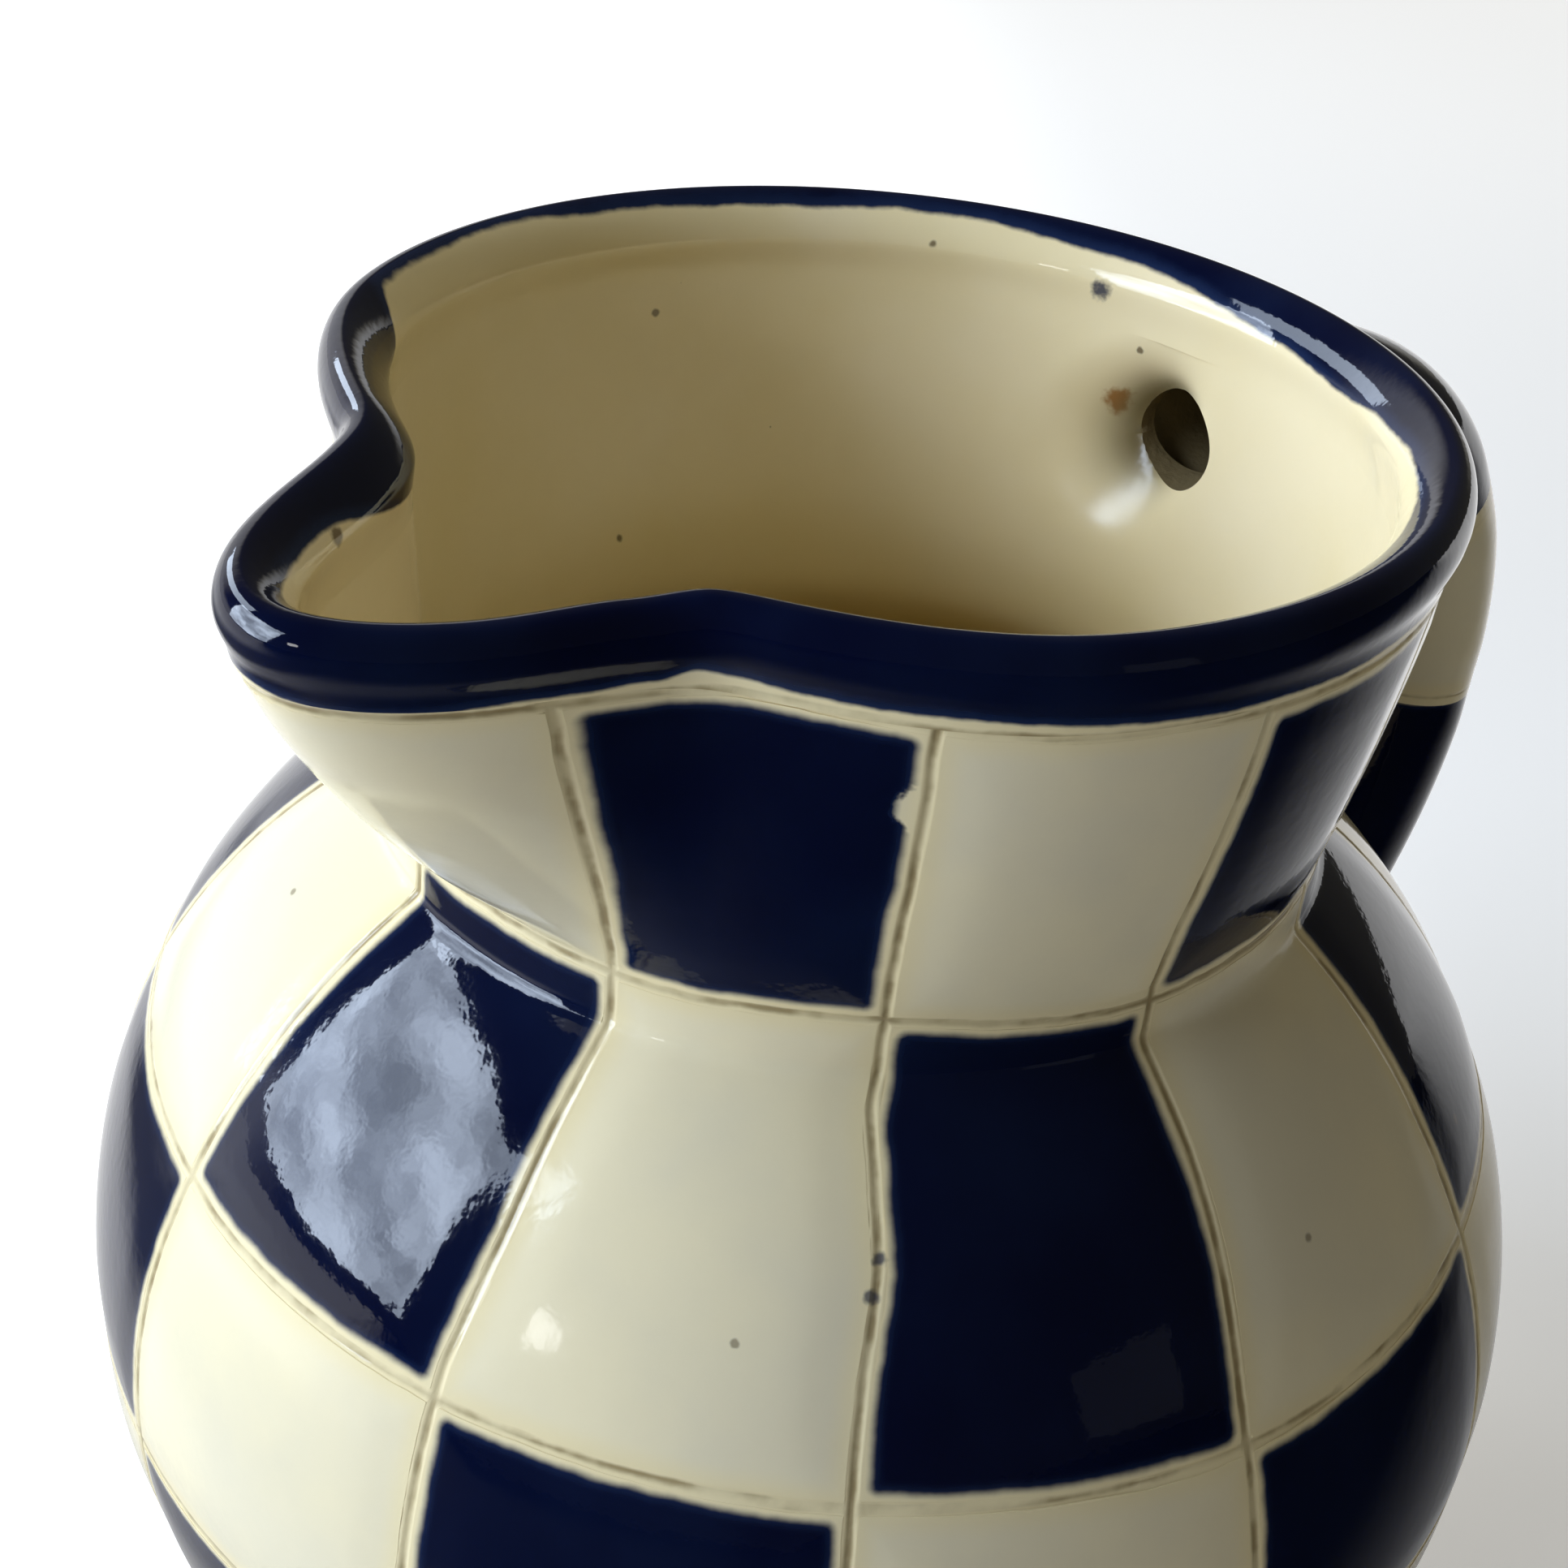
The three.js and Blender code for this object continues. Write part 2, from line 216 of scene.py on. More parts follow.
@lru_cache(maxsize=None)
def level_line(number, theta):
    x, y = direction(theta) * BELLY_RADIUS
    shift = wander(FIRST_LEVEL + number, x, y) + bend(LEVEL_BENDS.get(number, []), math.degrees(theta) % 360)
    return LINE_HEIGHTS[number] + shift


@lru_cache(maxsize=None)
def wall_lean(z):
    if z > WAIST_Z:
        return NECK_LEAN
    slope = (belly_radius(z + LEAN_STEP, 0) - belly_radius(z - LEAN_STEP, 0)) / (2 * LEAN_STEP)
    return math.hypot(1, slope)


def line_distance(theta, z):
    line_angle, shift = upright_line(round((theta - math.pi) / COLUMN - 0.5), z)
    upright = abs((theta - line_angle) * wall_point(theta, z, 0).xy.length - shift)
    number = min(range(len(LINE_HEIGHTS)), key=lambda i: abs(z - LINE_HEIGHTS[i]))
    return min(upright, abs(z - level_line(number, theta)) * wall_lean(z))


print("level lines at", [round(height / MM, 1) for height in LINE_HEIGHTS], "mm")

# %% [markdown]
# ## Turning a wall
# Both clay walls start as a closed outline that bmesh spins round the upright axis. A spin slows down with
# every step, so it makes one twelfth, which is then copied round and welded. The steps are even, but a
# groove of half a millimetre needs vertices close to the lines, so each angle and each height is
# drawn towards the nearest line by a sine. Spare vertices elsewhere would be waste.

# %% Helpers for turned pieces
GATHER = 0.75
WELD = 0.005 * MM
COLUMN_STEPS = 52
SHARP_ANGLE = math.radians(45)
UPWARDS = Vector((0, 0, 1))


def gather(share):
    return share - GATHER * math.sin(2 * math.pi * share) / (2 * math.pi)


def gathered_angle(x, y):
    column = round((math.atan2(y, x) - math.pi) / COLUMN + 0.5, 6)
    whole = math.floor(column)
    return math.pi + (whole + gather(column - whole) - 0.5) * COLUMN


def gathered_levels(heights, steps):
    spans = zip(heights, heights[1:])
    inner = [low + (high - low) * gather(i / steps) for low, high in spans for i in range(steps)]
    return inner + [heights[-1]]


def even_levels(low, high, steps):
    return [low + (high - low) * i / steps for i in range(steps + 1)]


def turned(outline, steps):
    bm = bmesh.new()
    verts = [bm.verts.new((radius, 0, z)) for radius, z in outline]
    edges = [bm.edges.new(pair) for pair in zip(verts, verts[1:] + verts[:1])]
    turn = {"axis": UPWARDS, "cent": (0, 0, 0), "angle": COLUMN, "steps": steps // COLUMNS}
    bmesh.ops.spin(bm, geom=verts + edges, **turn)
    twelfth = bm.verts[:] + bm.edges[:] + bm.faces[:]
    for number in range(1, COLUMNS):
        copied = bmesh.ops.duplicate(bm, geom=twelfth)["geom"]
        moved = [item for item in copied if isinstance(item, bmesh.types.BMVert)]
        bmesh.ops.rotate(bm, verts=moved, cent=(0, 0, 0), matrix=Matrix.Rotation(number * COLUMN, 3, "Z"))
    bmesh.ops.remove_doubles(bm, verts=bm.verts, dist=WELD)
    bmesh.ops.recalc_face_normals(bm, faces=bm.faces)
    return bm


def shaded_smooth(mesh):
    mesh.shade_smooth()
    mesh.set_sharp_from_angle(angle=SHARP_ANGLE)


def finished(bm, name, materials, slot, *nodes):
    mesh = bpy.data.meshes.new(name)
    bm.to_mesh(mesh)
    bm.free()
    for material in materials:
        mesh.materials.append(material)
    shaded_smooth(mesh)
    piece = bpy.data.objects.new(name, mesh)
    bpy.context.scene.collection.objects.link(piece)
    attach(piece, "root")
    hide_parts(*nodes)
    print(f"{name}: {len(mesh.polygons)} faces for {', '.join(nodes)}")
    return piece


print("steps round a wall:", COLUMNS * COLUMN_STEPS)

# %% [markdown]
# ## Writing shader maths
# Node trees are easier to read as sums. This small class wraps one output socket, so that plus, minus
# and times add Math nodes. Its method `node` makes any other node, and the methods after it are short
# names for the ones that the finishes share. A number stays a number and is worked out in Python.

# %% Shader sums
SPOT_HEART, SPOT_GRAIN = 0.4, 900.0


class Shade:
    """One output socket of a shader node that takes part in Python sums."""

    def __init__(self, tree, socket=None):
        self.tree = tree
        self.socket = socket

    def node(self, kind, settings, inputs, output=0):
        made = self.tree.nodes.new(kind)
        for key, value in settings.items():
            setattr(made, key, value)
        for key, value in inputs.items():
            if isinstance(value, Shade):
                self.tree.links.new(value.socket, made.inputs[key])
            else:
                made.inputs[key].default_value = value
        return Shade(self.tree, made.outputs[output])

    def math(self, operation, first, second=0.0):
        return self.node("ShaderNodeMath", {"operation": operation}, {0: first, 1: second})

    def __add__(self, other):
        return self.math("ADD", self, other)

    __radd__ = __add__

    def __sub__(self, other):
        return self.math("SUBTRACT", self, other)

    def __rsub__(self, other):
        return self.math("SUBTRACT", other, self)

    def __mul__(self, other):
        return self.math("MULTIPLY", self, other)

    __rmul__ = __mul__

    def ramp(self, low, high):
        settings = {"interpolation_type": "SMOOTHSTEP"}
        return self.node("ShaderNodeMapRange", settings, {"Value": self, "From Min": low, "From Max": high})

    def mix(self, start, end):
        colours = {0: self, 6: start, 7: end}
        return self.node("ShaderNodeMix", {"data_type": "RGBA"}, colours, output=2)

    def attribute(self, name):
        return self.node("ShaderNodeAttribute", {"attribute_name": name}, {}, output=2)

    def place(self):
        return self.node("ShaderNodeTexCoord", {}, {}, output=3)

    def noise(self, scale, detail=2.0):
        return self.node("ShaderNodeTexNoise", {}, {"Vector": self.place(), "Scale": scale, "Detail": detail})

    def dots(self, scale, size):
        cells = self.node("ShaderNodeTexVoronoi", {}, {"Vector": self.place(), "Scale": scale})
        return 1 - cells.ramp(size * 0.5, size)

    def towards(self, side, near, far, place=None):
        settings, inputs = {"operation": "DOT_PRODUCT"}, {0: place or self.place(), 1: side}
        return self.node("ShaderNodeVectorMath", settings, inputs, output=1).ramp(near, far)

    def spot(self, centre, radius):
        inputs = {0: self.place(), 1: Vector(centre) * MM}
        far = self.node("ShaderNodeVectorMath", {"operation": "DISTANCE"}, inputs, output=1)
        ragged = far + radius * MM * (self.noise(SPOT_GRAIN) - 0.5)
        return 1 - ragged.ramp(SPOT_HEART * radius * MM, radius * MM)


def new_material(name):
    material = bpy.data.materials.new(name)
    material.use_nodes = True
    tree = material.node_tree
    return material, Shade(tree), tree.nodes["Principled BSDF"]


def feed(sums, shader, **values):
    for key, value in values.items():
        socket = shader.inputs[key.replace("_", " ").title()]
        if isinstance(value, Shade):
            sums.tree.links.new(value.socket, socket)
        else:
            socket.default_value = value


print("shader sums ready")

# %% [markdown]
# ## Glaze finishes
# All the glazes are glassy coats of one kind. What differs is the stain, and how it gathers: cream thins
# out and warms towards a line, the line itself shows the tan clay, and cobalt stops short of the line
# with a soft, wavy edge. Each finish reads the distance to the lines that the mesh carries, in
# millimetres, and adds noise in Object coordinates. A few specks and kiln marks sit at their own places,
# which are given in millimetres with a radius. Edges are given as two distances, also in millimetres,
# between which one colour turns into the next.

# %% Colours and common glaze
CREAM = (0.84, 0.735, 0.49, 1)
CREAM_GREY = (0.76, 0.68, 0.49, 1)
CREAM_WARM = (0.84, 0.70, 0.39, 1)
CREAM_INSIDE = (0.90, 0.77, 0.50, 1)
# painted shade for the lower inside of the jug
CREAM_PAINTED_SHADE = (0.76, 0.61, 0.29, 1)
TAN = (0.24, 0.165, 0.065, 1)
RUST = (0.38, 0.13, 0.01, 1)
DARK_TAN = (0.10, 0.06, 0.025, 1)
COBALT = (0.0012, 0.0027, 0.017, 1)
COBALT_THIN = (0.010, 0.020, 0.060, 1)
CLAY = (0.62, 0.53, 0.38, 1)
# painted shade: the dark of the hole into the hollow handle, where light doesn't reach
BORE_PAINTED_SHADE = (0.16, 0.12, 0.05, 1)

BROWN_SPECKS = [(-52.2, 28.8, 110.1), (-7.0, -67.2, 101.3), (-56.1, -39.2, 100.1)]
COBALT_SPECKS = [(-44.3, -45.0, 106.5), (-46.3, -46.0, 104.1)]
BROWN_SPECK_RADIUS, COBALT_SPECK_RADIUS = 0.55, 1.0
GLAZE_RIPPLE = 0.1 * MM
CREAM_ROUGHNESS, COBALT_ROUGHNESS, INNER_ROUGHNESS = 0.07, 0.03, 0.2
WARM_EDGE, SCORE_EDGE = (0.5, 3.2), (0.08, 0.58)
RELIEF = 0.8


def glassy(sums, shader, colour, height, roughness):
    bump_inputs = {"Strength": 1.0, "Distance": GLAZE_RIPPLE, "Height": height}
    bump = sums.node("ShaderNodeBump", {}, bump_inputs)
    feed(sums, shader, base_color=colour, normal=bump)
    feed(sums, shader, roughness=roughness + 0.05 * sums.noise(120.0, 3.0))


def ripple(sums):
    return 0.5 * sums.noise(85.0, 1.0) + 0.22 * sums.noise(650.0, 2.0)


def lined_cream(sums):
    line = sums.attribute("line")
    ragged = line + 0.35 * (sums.noise(420.0, 3.0) - 0.5)
    cream = sums.noise(38.0, 4.0).ramp(0.35, 0.7).mix(CREAM, CREAM_GREY)
    cream = (0.6 * (1 - ragged.ramp(*WARM_EDGE))).mix(cream, CREAM_WARM)
    pinholes = sums.dots(95.0, 0.03) * sums.noise(60.0).ramp(0.52, 0.6)
    cream = (0.8 * pinholes).mix(cream, DARK_TAN)
    for centre in BROWN_SPECKS:
        cream = (0.6 * sums.spot(centre, BROWN_SPECK_RADIUS)).mix(cream, DARK_TAN)
    crust = 0.3 + 0.5 * sums.noise(190.0, 3.0).ramp(0.38, 0.62)
    score = (1 - ragged.ramp(*SCORE_EDGE)) * crust
    cream = score.mix(cream, TAN)
    for centre in COBALT_SPECKS:
        cream = (0.8 * sums.spot(centre, COBALT_SPECK_RADIUS)).mix(cream, COBALT_THIN)
    return cream, score


print("glaze colours ready")

# %% Cream glaze
def make_cream():
    material, sums, shader = new_material("scored_cream_glaze")
    cream, score = lined_cream(sums)
    glassy(sums, shader, cream, ripple(sums) - RELIEF * score, CREAM_ROUGHNESS)
    return material


cream_glaze = make_cream()
print("made", cream_glaze.name)

# %% Cobalt glaze
SMEAR = ((-39.1, -37.7, 147.8), 2.6)
KILN_MARK = ((25.4, -66.1, 96.7), 0.7)
POOL_EDGE, POOL_BODY = (0.75, 1.75), (1.0, 2.6)


def make_cobalt():
    material, sums, shader = new_material("cobalt_pool_glaze")
    cream, score = lined_cream(sums)
    wavy = 1.0 * (sums.noise(120.0, 2.0) - 0.5) + 0.25 * (sums.noise(700.0, 3.0) - 0.5)
    edge = sums.attribute("pool") + wavy - 1.1 * sums.spot(*SMEAR)
    cloud = 0.3 * sums.noise(45.0, 3.0).ramp(0.3, 0.8)
    cobalt = edge.ramp(*POOL_BODY).mix(COBALT_THIN, cloud.mix(COBALT, COBALT_THIN))
    colour = edge.ramp(*POOL_EDGE).mix(cream, cobalt)
    colour = (0.8 * sums.spot(*KILN_MARK)).mix(colour, DARK_TAN)
    glassy(sums, shader, colour, ripple(sums) - RELIEF * score, COBALT_ROUGHNESS)
    return material


cobalt_glaze = make_cobalt()
print("made", cobalt_glaze.name)

# %% Glaze inside the jug
SPOUT_SPECK = ((-59.6, 10.2, 160.1), 1.2)
INNER_SPECKS = [(15.0, 47.6, 151.5), (41.4, 28.8, 160.2), (8.0, 44.7, 125.7), (50.4, 3.9, 153.1)]
INNER_SPECK_RADIUS = 0.6
COBALT_DRIP = ((49.7, 10.0, 158.7), 1.6)
RUST_MARK = ((50.9, 6.1, 146.0), 2.2)
DEEP_Z, PALE_Z = 100 * MM, 142 * MM


def inner_cream(sums):
    cream = sums.noise(30.0, 4.0).ramp(0.3, 0.75).mix(CREAM_INSIDE, CREAM_WARM)
    # painted shade: the inside turns darker and yellower towards the bottom
    cream = (1 - sums.towards(UPWARDS, DEEP_Z, PALE_Z)).mix(cream, CREAM_PAINTED_SHADE)
    for centre, radius in [SPOUT_SPECK] + [(centre, INNER_SPECK_RADIUS) for centre in INNER_SPECKS]:
        cream = (0.8 * sums.spot(centre, radius)).mix(cream, DARK_TAN)
    return (0.9 * sums.spot(*COBALT_DRIP)).mix(cream, COBALT_THIN)


def make_inner_glaze():
    material, sums, shader = new_material("inner_cream_glaze")
    colour = inner_cream(sums)
    pinholes = sums.dots(120.0, 0.03) * sums.noise(70.0).ramp(0.52, 0.6)
    colour = (0.8 * pinholes).mix(colour, DARK_TAN)
    colour = (0.9 * sums.spot(*RUST_MARK)).mix(colour, RUST)
    # painted shade: the cream darkens towards the hole as the funnel deepens
    colour = sums.attribute("funnel").ramp(0.1, 1.0).mix(colour, BORE_PAINTED_SHADE)
    glassy(sums, shader, colour, ripple(sums) - RELIEF * pinholes, INNER_ROUGHNESS)
    return material


inner_glaze = make_inner_glaze()
print("made", inner_glaze.name)

# %% Bare clay
CLAY_GRAIN = 0.2 * MM


def make_bare_clay(name, pale, dark):
    material, sums, shader = new_material(name)
    colour = (0.5 * sums.noise(60.0, 4.0).ramp(0.3, 0.7)).mix(pale, dark)
    bump_inputs = {"Strength": 1.0, "Distance": CLAY_GRAIN, "Height": sums.noise(900.0, 4.0)}
    feed(sums, shader, base_color=colour, normal=sums.node("ShaderNodeBump", {}, bump_inputs))
    feed(sums, shader, roughness=0.55 + 0.2 * sums.noise(300.0))
    return material


bare_clay = make_bare_clay("bare_clay", CLAY, TAN)
# the bore's clay is painted dark as the shade inside the hollow handle
bore_shade_clay = make_bare_clay("clay_with_painted_bore_shade", BORE_PAINTED_SHADE, DARK_TAN)
print("made", bare_clay.name, "and", bore_shade_clay.name)

# %% [markdown]
# ## Belly
# The belly is an ellipsoid that ends in a short collar under the waist. Its outline runs up the outside
# and down the inside, so one spin gives a closed wall. The outer vertices then sink into the grooves.
# The cream coat lifts the outside a little above the bare clay of the CAD part.

# %% Belly wall
COAT = 0.45 * MM
GROOVE_DEPTH = 0.22 * MM
GROOVE_WIDTH = 0.42 * MM
LINE_MARGIN = 0.7 * MM
POOL_SEAT = 0.25 * MM
OUTSIDE, INSIDE, BORE = 0, 1, 2
FAR_FROM_LINES = 20.0
SHOULDER_BLEND = 8 * MM
BELLY_SPAN_STEPS, BELLY_INSIDE_STEPS = 20, 40


def sunk(distance):
    groove = GROOVE_DEPTH * math.exp(-((distance / GROOVE_WIDTH) ** 2))
    return groove + POOL_SEAT * smoothstep(distance, LINE_MARGIN, 2 * LINE_MARGIN)


def split_inside(bm, is_inside):
    inside = {vert for vert in bm.verts if is_inside(math.hypot(vert.co.x, vert.co.y), vert.co.z)}
    for face in bm.faces:
        face.material_index = INSIDE if inside.issuperset(face.verts) else OUTSIDE
    return inside


def belly_wall():
    spans = [FOOT_Z] + LINE_HEIGHTS[:BELLY_ROWS] + [COLLAR_FOOT, WAIST_Z]
    outer_levels = gathered_levels(spans, BELLY_SPAN_STEPS)
    outer = [(belly_radius(z, COAT), z) for z in outer_levels]
    inner_levels = even_levels(FOOT_Z, WAIST_Z, BELLY_INSIDE_STEPS)
    inner = [(belly_radius(z, -WALL, SHOULDER_BLEND), z) for z in inner_levels]
    bm = turned(outer + inner[::-1], COLUMNS * COLUMN_STEPS)
    line = bm.verts.layers.float.new("line")
    inside = split_inside(bm, lambda radius, z: radius < belly_radius(z, -WALL / 2))
    for vert in bm.verts:
        theta = gathered_angle(vert.co.x, vert.co.y)
        radius = math.hypot(vert.co.x, vert.co.y)
        vert[line] = FAR_FROM_LINES
        if vert not in inside:
            distance = line_distance(theta, vert.co.z)
            vert[line] = distance / MM
            radius -= sunk(distance)
        vert.co.xy = direction(theta) * radius
    return finished(bm, "belly_wall", [cream_glaze, inner_glaze], "cream_glaze", "belly")


belly_wall()

# %% [markdown]
# ## Neck
# The neck is spun as a straight ring and then moved onto the pinched wall, where the spout and its two
# notches come from the mouth's outline. The hollow handle opens into the neck: the inner wall is drawn
# out into half a funnel, as slip does in a casting, and an oval cutter opens the funnel's floor. The
# mesh carries the funnel's depth, and the cream glaze fades with it into painted shade, which goes on
# into the bore as clay painted dark as shade.

# %% Handle axis
HANDLE_SKEW = math.radians(-3)
HANDLE_TURN = math.radians(-10.4)
HANDLE_DROP, HANDLE_RISE, HANDLE_TOP_PULL = 14 * MM, 20.7 * MM, 65 * MM
HANDLE_FOOT_Z, HANDLE_FOOT_PULL, HANDLE_FOOT_DEPTH = 50.5 * MM, 20.3 * MM, 12 * MM
HANDLE_BOW = 27.5 * MM
HANDLE_POINTS = [
    Vector((COLLAR_RADIUS - WALL, 0, NECK_TOP - HANDLE_DROP)),
    Vector((COLLAR_RADIUS + HANDLE_TOP_PULL, 0, NECK_TOP - HANDLE_DROP + HANDLE_RISE)),
    Vector((BELLY_RADIUS + HANDLE_BOW, 0, HANDLE_FOOT_Z + HANDLE_FOOT_PULL)),
    Vector((belly_radius(HANDLE_FOOT_Z, -HANDLE_FOOT_DEPTH), 0, HANDLE_FOOT_Z)),
]
HANDLE_PLACE = (
    Matrix.Rotation(HANDLE_SKEW, 4, "Z")
    @ Matrix.Translation((COLLAR_RADIUS, 0, 0))
    @ Matrix.Rotation(HANDLE_TURN, 4, "Z")
    @ Matrix.Translation((-COLLAR_RADIUS, 0, 0))
)


def handle_frame(share):
    a, b, c, d = HANDLE_POINTS
    rest = 1 - share
    point = a * rest**3 + b * (3 * rest**2 * share) + c * (3 * rest * share**2) + d * share**3
    along = (b - a) * rest**2 + (c - b) * (2 * rest * share) + (d - c) * share**2
    along.normalize()
    across = Vector((0, 1, 0))
    axes = Matrix((across, along.cross(across), along)).transposed().to_4x4()
    return HANDLE_PLACE @ Matrix.Translation(point) @ axes


print("handle starts at", [round(x / MM, 1) for x in handle_frame(0).translation], "mm")

# %% Cutting one piece with another
BORE_ACROSS, BORE_THROUGH = 6.6 * MM, 5.0 * MM
BORE_HALF_LENGTH, BORE_SIDES = 9 * MM, 96
BORE_STATION = 0.025
BORE_LIFT = Matrix.Translation((0, 0.4 * MM, 0))
FUNNEL_REACH = 12.8 * MM
FUNNEL_DEPTH = 4.8 * MM
FUNNEL_SIDE = (-7 * MM, 7 * MM)
LAYERS = ("line", "pool", "funnel")
NEIGHBOURS = 3


def cutter(bm, finish):
    for face in bm.faces:
        face.material_index = finish
    mesh = bpy.data.meshes.new("cutter")
    bm.to_mesh(mesh)
    bm.free()
    piece = bpy.data.objects.new("cutter", mesh)
    bpy.context.scene.collection.objects.link(piece)
    return piece


def bore_cutter(finish):
    half = BORE_HALF_LENGTH
    bm = turned([(0, -half), (BORE_ACROSS, -half), (BORE_ACROSS, half), (0, half)], BORE_SIDES)
    bmesh.ops.scale(bm, vec=(1, BORE_THROUGH / BORE_ACROSS, 1), verts=bm.verts)
    bmesh.ops.transform(bm, matrix=handle_frame(BORE_STATION) @ BORE_LIFT, verts=bm.verts)
    return cutter(bm, finish)


def funnel_share(point):
    local = handle_frame(0).inverted() @ point
    if local.length > 2 * FUNNEL_REACH:
        return 0
    distance = max(BORE_THROUGH, math.hypot(local.x * BORE_THROUGH / BORE_ACROSS, local.y))
    share = max(0, FUNNEL_REACH - distance) / (FUNNEL_REACH - BORE_THROUGH)
    return share * share * smoothstep(local.x, *FUNNEL_SIDE)


def carry_layers(before, after):
    tree = kdtree.KDTree(len(before.vertices))
    for vert in before.vertices:
        tree.insert(vert.co, vert.index)
    tree.balance()
    names = [name for name in LAYERS if name in before.attributes]
    for vert in after.vertices:
        near = tree.find_n(vert.co, NEIGHBOURS)
        weights = [1 / (distance + WELD) for spot, index, distance in near]
        for name in names:
            known = [before.attributes[name].data[index].value for spot, index, distance in near]
            total = sum(value * weight for value, weight in zip(known, weights))
            after.attributes[name].data[vert.index].value = total / sum(weights)


def cut_away(piece, tool):
    cut = piece.modifiers.new("cut", "BOOLEAN")
    cut.operation, cut.solver, cut.object = "DIFFERENCE", "EXACT", tool
    evaluated = piece.evaluated_get(bpy.context.evaluated_depsgraph_get())
    whole, piece.data = piece.data, bpy.data.meshes.new_from_object(evaluated)
    piece.modifiers.remove(cut)
    bpy.data.objects.remove(tool)
    carry_layers(whole, piece.data)
    shaded_smooth(piece.data)


print(f"bore {2 * BORE_ACROSS / MM:.1f} by {2 * BORE_THROUGH / MM:.1f} mm")

# %% Neck wall
SETTLE = SETTLE_RISE * (1 + NECK_SWELL)
NECK_STEPS, NECK_INSIDE_STEPS = 40, 56


def neck_wall():
    outer_levels = gathered_levels([WAIST_Z, LINE_HEIGHTS[RIM_LINE]], NECK_STEPS) + [NECK_TOP]
    outer = [(COLLAR_RADIUS + COAT, z) for z in outer_levels]
    inner = [(COLLAR_RADIUS - WALL, z) for z in even_levels(WAIST_Z, NECK_TOP, NECK_INSIDE_STEPS)]
    bm = turned(outer + inner[::-1], COLUMNS * COLUMN_STEPS)
    line = bm.verts.layers.float.new("line")
    funnel = bm.verts.layers.float.new("funnel")
    inside = split_inside(bm, lambda radius, z: radius < COLLAR_RADIUS - WALL / 2)
    funnel_axis = handle_frame(0).col[2].xyz
    for vert in bm.verts:
        theta, z = gathered_angle(vert.co.x, vert.co.y), vert.co.z
        if vert in inside:
            vert[line] = FAR_FROM_LINES
            vert.co = neck_point(theta, z, -WALL, SETTLE)
            vert[funnel] = funnel_share(vert.co)
            vert.co += funnel_axis * FUNNEL_DEPTH * vert[funnel]
        else:
            distance = line_distance(theta, z)
            vert[line] = distance / MM
            vert.co = neck_point(theta, z, COAT - sunk(distance))
    # the cut bore wall gets the clay painted dark as shade
    piece = finished(bm, "neck_wall", [cream_glaze, inner_glaze, bore_shade_clay], "cream_glaze", "neck")
    cut_away(piece, bore_cutter(BORE))


neck_wall()

# %% [markdown]
# ## Rolled rim
# The lip is a roll of clay bent over the edge and dipped in cobalt. Its section is spun as a ring and moved
# onto the mouth's outline. The mesh carries the distance to the edge of the dip, and since no dip ends
# evenly, both edges follow a row of heights read off the photo, with noise on top in the finish.

# %% Cobalt rim finish
DIP_EDGE, DIP_BODY = (-0.2, 0.35), (0.2, 1.6)


def make_rim_glaze():
    material, sums, shader = new_material("rim_cobalt_glaze")
    cream, score = lined_cream(sums)
    wavy = 0.7 * (sums.noise(110.0, 2.0) - 0.5) + 0.4 * (sums.noise(520.0, 3.0) - 0.5)
    edge = sums.attribute("dip") + wavy
    cloud = 0.3 * sums.noise(60.0, 3.0).ramp(0.3, 0.8)
    cobalt = edge.ramp(*DIP_BODY).mix(COBALT_THIN, cloud.mix(COBALT, COBALT_THIN))
    is_inner = sums.attribute("line").ramp(0.6 * FAR_FROM_LINES, 0.8 * FAR_FROM_LINES)
    bare = is_inner.mix(cream, inner_cream(sums))
    glassy(sums, shader, edge.ramp(*DIP_EDGE).mix(bare, cobalt), ripple(sums), COBALT_ROUGHNESS)
    return material


rim_glaze = make_rim_glaze()
print("made", rim_glaze.name)

# %% Rim roll
RIM_STEPS, ROLL_STEPS = 480, 16
SPOUT_CROWDING = 0.55
CREST = 1.0 * MM
OUTER_REACH, OUTER_DROP, OUTER_FULLNESS = 2.4 * MM, 3.6 * MM, 2.0
INNER_REACH, INNER_DROP, INNER_FULLNESS = 4.4 * MM, 4.8 * MM, 1.45
OUTER_SKIRT = [(2.36, -0.4), (2.4, 0.3), (2.5, 1.0), (2.75, 1.9), (3.1, 2.8), (3.32, 3.6)]
INNER_SKIRT = [(-3.38, 2.6), (-3.3, 1.7), (-3.2, 0.8), (-3.14, -0.4), (-3.12, -1.6)]

SPOUT_SINK = [(150, 0), (172, 0.8), (182, 1.2), (190, 1.3), (198, 0.8), (205, 0)]
OUTER_EDGE = [
    (140, 0.3), (170, -0.2), (178, 0.2), (186, -1.0), (193, -0.2), (200, 0.3), (204, 1.4), (208, 1.2),
    (214, 0.9), (220, 0.7), (230, 0.8), (240, 0.3), (252, 0), (300, 0.3),
]
INNER_EDGE = [
    (0, 2.6), (9, 2.1), (34, 1.3), (53, 1.6), (80, 1.3), (92, 0.6), (118, 0.7), (128, 5.6), (140, 7.4),
    (158, 6.8), (170, 3.0), (180, 2.0), (220, 1.6), (270, 2.0), (305, 2.7), (318, 3.6), (330, 4.6),
    (345, 4.0), (349, 3.6), (360, 2.6),
]


def crowd(theta):
    turn = from_spout(theta)
    return math.pi + turn - SPOUT_CROWDING * math.sin(turn)


def quarter(reach, drop, fullness):
    angles = even_levels(0, math.pi / 2, ROLL_STEPS)
    power = 2 / fullness
    shape = [(math.cos(a) ** power, math.sin(a) ** power) for a in angles[:-1]] + [(0, 1)]
    return [(CREST + reach * out, RIM_TOP - drop + drop * rise) for out, rise in shape]


